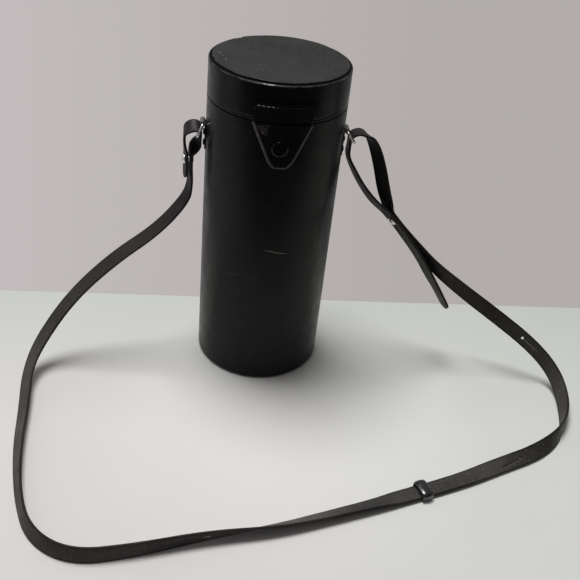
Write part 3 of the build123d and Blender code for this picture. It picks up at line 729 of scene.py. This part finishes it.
def strap_rows(route):
    # The strap's middle line, and the direction across it, at even steps of its length, with
    # closer steps at the rounded tip.
    middle = smooth_line([p for p, across in route])
    edge = smooth_line([p + Vector(across).normalized() * 0.004 for p, across in route])
    lengths = [0.0]
    for a, b in zip(middle, middle[1:]):
        lengths.append(lengths[-1] + (b - a).length)
    total = lengths[-1]
    steps = int((total - TIP_START) / 0.002)
    stops = [(total - TIP_START) * i / steps for i in range(steps + 1)]
    stops += [total - TIP_RADIUS * (1 - math.sin(math.radians(a))) for a in range(6, 90, 7)]
    rows = []
    k = 0
    for stop in stops:
        while lengths[k + 1] < stop and k < len(lengths) - 2:
            k += 1
        share = (stop - lengths[k]) / (lengths[k + 1] - lengths[k])
        center = middle[k].lerp(middle[k + 1], share)
        run = (middle[min(k + 2, len(middle) - 1)] - middle[max(k - 1, 0)]).normalized()
        across = edge[k].lerp(edge[k + 1], share) - center
        across = (across - run * across.dot(run)).normalized()
        rows.append((center, run, across, stop))
    return rows, total, middle


def strap_mesh(name, route):
    # The flat strip along a route. Its section has raw edges and a line pressed beside each.
    rows, total, middle = strap_rows(route)
    half, thick = STRAP_WIDTH / 2, STRAP_THICKNESS / 2
    side = [(1, 0.36), (0.965, 0.86), (0.9, 1.0), (0.82, 0.93), (0.5, 1.0), (0, 1.04)]
    outline = side + [(-u, v) for u, v in reversed(side[:-1])]
    outline += [(-u, -v) for u, v in outline]
    mesh = bmesh.new()
    rings = []
    for center, run, across, stop in rows:
        face = run.cross(across)
        left = total - stop
        width = half
        if left <= TIP_RADIUS:
            width *= math.sqrt(max(0.01, 1 - (1 - left / TIP_RADIUS) ** 2))
        rings.append([mesh.verts.new(center + across * u * width + face * v * thick)
                      for u, v in outline])
    count = len(outline)
    for a, b in zip(rings, rings[1:]):
        for i in range(count):
            j = (i + 1) % count
            quad = mesh.faces.new((a[i], a[j], b[j], b[i]))
            quad.smooth = True
            quad.material_index = int(abs(outline[i][0]) > 0.81 and abs(outline[j][0]) > 0.81)
    for ring in (rings[0], rings[-1]):
        mesh.faces.new(ring).material_index = 1
    return piece_from(mesh, name, strap_hide, strap_raw), rows, total, middle


def laid_on(run, face, place):
    # Where a cutter goes that lies along run, square to the strap's face.
    return Matrix.Translation(place) @ Matrix((run, face.cross(run), face)).transposed().to_4x4()


def punch(strap, rows, hole, slit_end, radius=0.0014, deep=0.006, slit=0.0003):
    # A round hole through the strap at the point nearest to hole, and a slit from it that lets
    # a stud head through, reaching as far as slit_end.
    center, run, across, stop = min(rows, key=lambda row: (row[0] - hole).length)
    face = run.cross(across)
    start = hole - face * (hole - center).dot(face)
    if radius:
        drill(strap, radius, deep, 20, laid_on(run, face, start))
    if slit_end:
        way = slit_end - start
        way -= face * way.dot(face)
        cutter = bmesh.new()
        bmesh.ops.create_cube(cutter, size=1.0,
                              matrix=laid_on(way.normalized(), face, start + way / 2)
                              @ Matrix.Diagonal((way.length, slit, deep, 1)))
        take_away(strap, cutter)


strap_hide, tree, shader, place = hide_finish(
    "strap_hide", (0.021, 0.0196, 0.0187), (0.066, 0.062, 0.058), 0.42, 0.58, 900.0, 0.00012)
x, y, z = axes_of(tree, place)
dusty = spread(tree, grain(tree, place, 700.0, 5.0), 0, 0.6, 0.54, 0.68)
tint(tree, shader, dusty, (0.10, 0.095, 0.088))
# A pale, flecked mark round the hole in the left strap.
pale_mark_at_hole = patchy(tree, place, spot(tree, place, (-0.0465, 0.0070), (0.0036, 0.0026)), 700.0)
tint(tree, shader, pale_mark_at_hole, (0.20, 0.19, 0.175))
# Painted shade: the strap is darker the higher it runs, up towards the rings.
painted_shade_high_up = spread(tree, z, 0, 0.88, 0.03, 0.15)
tint(tree, shader, painted_shade_high_up, (0.009, 0.008, 0.0075))
strap_raw = hide_finish("strap_raw_edge", (0.008, 0.0074, 0.007), (0.034, 0.031, 0.028),
                        0.5, 0.7, 900.0, 0.00006)[0]
strap_left = strap_mesh("carrying_strap_left", left_route)
strap_right = strap_mesh("carrying_strap_right", right_route)
punch(*strap_left[:2], mm(-46.5, -229.4, 7), None)
punch(*strap_right[:2], mm(239, -41.4, 41.4), mm(253.5, -48, 31.3))
punch(*strap_right[:2], mm(209.5, -155.8, 5), mm(192.3, -164.4, 5))
punch(*strap_right[:2], right_over_stud + right_run * 0.0035, right_over_stud + right_run * 0.017,
      radius=0, deep=0.0024)
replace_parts(strap_left[0], "strap_left", "strap_left_ring_loop", "strap_left_tail")
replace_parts(strap_right[0], "strap_right", "strap_right_ring_loop", "strap_right_tail")
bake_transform(strap_left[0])
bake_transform(strap_right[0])

# Strap studs. Turned from nickel-plated steel, each with a flat base, a post through both
# plies of the strap and a round head that the strap's hole slips over.
for side, post, face, ply_step in (("left", left_stud, left_face, LEFT_PLY_STEP),
                                   ("right", right_stud, right_face, RIGHT_PLY_STEP)):
    under = -STRAP_THICKNESS / 2 - 0.00005
    over = ply_step + STRAP_THICKNESS / 2 + 0.00005
    profile = [(0, under - 0.0009), (0.0030, under - 0.0009), (0.0034, under - 0.0007),
               (0.0034, under - 0.0001), (0.0033, under), (0.0018, under), (0.0018, over),
               (0.0036, over), (0.0039, over + 0.0001), (0.00395, over + 0.0004),
               (0.0037, over + 0.0009), (0.0032, over + 0.0014), (0.0024, over + 0.0018),
               (0.0013, over + 0.00205), (0, over + 0.0021)]
    stud = turned_piece(side + "_round_stud", profile, bright_plate, "root",
                        segments=48)
    stud.data.transform(Matrix.Translation(post)
                        @ face.to_track_quat("Z", "Y").to_matrix().to_4x4())
    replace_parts(stud, side + "_strap_stud")

# Keeper. A small glossy black loop, moulded in one piece, that slides along the strap. The
# two strips drawn above meet inside it.
KEEPER_MIDDLE = Vector((keeper_place.x, keeper_place.y, 0.0043))
KEEPER_STEPS = 96
keeper_black, tree, shader, place = nodes_of("keeper_black")
shader.inputs["Base Color"].default_value = (0.010, 0.010, 0.011, 1)
shader.inputs["Coat Weight"].default_value = 0.5
shader.inputs["Coat Roughness"].default_value = 0.18
tree.links.new(spread(tree, grain(tree, place, 300.0), 0.14, 0.3), shader.inputs["Roughness"])
raised(tree, shader, grain(tree, place, 260.0, 2.0), 0.0001)


def rounded_loop(half_wide, half_high, power, turn):
    # A point of a rounded rectangle, seen along the strap.
    c, s = math.cos(turn), math.sin(turn)
    reach = (abs(c / half_wide) ** power + abs(s / half_high) ** power) ** (-1 / power)
    return c * reach, s * reach


# The keeper's wall in section: how far along the strap, and how far from its inner to its
# outer face.
keeper_wall = [(-0.0044, 0.0), (-0.0047, 0.15), (-0.0047, 0.35), (-0.0043, 0.56), (-0.0036, 0.74),
               (-0.0026, 0.88), (-0.0013, 0.97), (0.0, 1.0)]
keeper_wall += [(-along, share) for along, share in reversed(keeper_wall[:-1])]
mesh = bmesh.new()
loops = []
for i in range(KEEPER_STEPS):
    turn = 2 * math.pi * i / KEEPER_STEPS
    inner = rounded_loop(0.0069, 0.0024, 7, turn)
    outer = rounded_loop(0.0088, 0.00425, 3.4, turn)
    loops.append([])
    for along, share in keeper_wall:
        wide, high = (a + (b - a) * share for a, b in zip(inner, outer))
        loops[-1].append(mesh.verts.new(KEEPER_MIDDLE + keeper_run * along + keeper_across * wide
                                        + upward * high))
for i, a in enumerate(loops):
    b = loops[(i + 1) % KEEPER_STEPS]
    for k in range(len(keeper_wall)):
        m = (k + 1) % len(keeper_wall)
        mesh.faces.new((a[k], a[m], b[m], b[k])).smooth = m != 0
keeper = piece_from(mesh, "keeper_loop", keeper_black)
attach(keeper, "keeper")
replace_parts(keeper, "keeper")

# Table and light. A pale table top that ends close behind the case, and a pale lilac-grey
# wall far behind it that only fills the view.
TABLE_REACH, TABLE_FRONT, BRIGHT_FRONT = 3.0, -1.6, -0.29
table_mesh = bpy.data.meshes.new("table")
table_mesh.from_pydata([(-TABLE_REACH, TABLE_FRONT, 0), (TABLE_REACH, TABLE_FRONT, 0),
                        (TABLE_REACH, 0.040, 0), (-TABLE_REACH, 0.095, 0)], [], [(0, 1, 2, 3)])
table = bpy.data.objects.new("table", table_mesh)
bpy.context.collection.objects.link(table)
table_white, tree, shader, place = nodes_of("table_white")
x, y, z = axes_of(tree, place)
tree.links.new(blended(tree, spread(tree, x, 0, 1, -0.1, 0.3), (0.61, 0.592, 0.578),
                       (0.583, 0.600, 0.561)), shader.inputs["Base Color"])
# Painted shade: the table is darker towards the back, behind the case.
tint(tree, shader, spread(tree, y, 0, 1, -0.12, 0.08), (0.475, 0.493, 0.460))
# Painted light: the table is paler round the case's front, lifting the shade that the case casts
# there.
from_case = apart(tree, calc(tree, "SUBTRACT", x, 0.02), calc(tree, "ADD", y, 0.11))
tint(tree, shader, spread(tree, from_case, 0.55, 0, 0.02, 0.17), (0.76, 0.755, 0.74))
# The front of the table is pale to the camera only, so that the dark hide doesn't mirror it.
ray = tree.nodes.new("ShaderNodeLightPath")
front = spread(tree, y, 1, 0, BRIGHT_FRONT - 0.01, BRIGHT_FRONT + 0.01)
unseen = calc(tree, "MULTIPLY", front, calc(tree, "SUBTRACT", 1.0, ray.outputs["Is Camera Ray"]))
tint(tree, shader, unseen, (0.04, 0.038, 0.038))
shader.inputs["Roughness"].default_value = 0.8
raised(tree, shader, grain(tree, place, 7.0, 2.0), 0.004)
table_mesh.materials.append(table_white)
world = bpy.data.worlds.new("room")
bpy.context.scene.world = world
world.use_nodes = True
room = world.node_tree
back = room.nodes["Background"]
toward = axes_of(room, room.nodes.new("ShaderNodeTexCoord").outputs["Generated"])
upper = calc(room, "MULTIPLY", spread(room, toward[1], 0, 1, -0.75, 0.4),
             spread(room, toward[2], 0, 1, -0.35, 0.1))
lower = spread(room, toward[1], 0, 1, -0.15, 0.45)
dim = blended(room, spread(room, toward[0], 0, 1, 0.1, 0.5), (0.135, 0.128, 0.130),
              (0.020, 0.020, 0.020))
bright = blended(room, spread(room, toward[0], 0, 1, -0.4, 0.4), (0.50, 0.48, 0.49),
                 (0.27, 0.27, 0.268))
room.links.new(blended(room, calc(room, "MAXIMUM", upper, lower), dim, bright),
               back.inputs["Color"])
# Painted light: the wall is paler on the left, where the room's light comes from.
wall = room.nodes.new("ShaderNodeBackground")
room.links.new(blended(room, spread(room, toward[0], 0, 1, -0.35, 0.25), (0.565, 0.525, 0.54),
                       (0.445, 0.418, 0.402)), wall.inputs["Color"])
ray = room.nodes.new("ShaderNodeLightPath")
either = room.nodes.new("ShaderNodeMixShader")
room.links.new(ray.outputs["Is Camera Ray"], either.inputs[0])
room.links.new(back.outputs[0], either.inputs[1])
room.links.new(wall.outputs[0], either.inputs[2])
room.links.new(either.outputs[0], room.nodes["World Output"].inputs["Surface"])


def soft_lamp(name, place, aim, size, power):
    # A round diffuse lamp that faces its aim.
    lamp = bpy.data.lights.new(name, "AREA")
    lamp.energy = power
    lamp.shape = "DISK"
    lamp.size = size
    holder = bpy.data.objects.new(name, lamp)
    bpy.context.collection.objects.link(holder)
    holder.location = place
    holder.rotation_euler = (Vector(aim) - Vector(place)).to_track_quat("-Z", "Y").to_euler()


soft_lamp("lamp_over", (-0.2, 0.25, 1.9), (0, 0, 0), 0.8, 35)
soft_lamp("lamp_left", (-2.4, 0.4, 0.9), (0, 0, 0.12), 1.0, 2)
bpy.context.scene.view_settings.view_transform = "Standard"
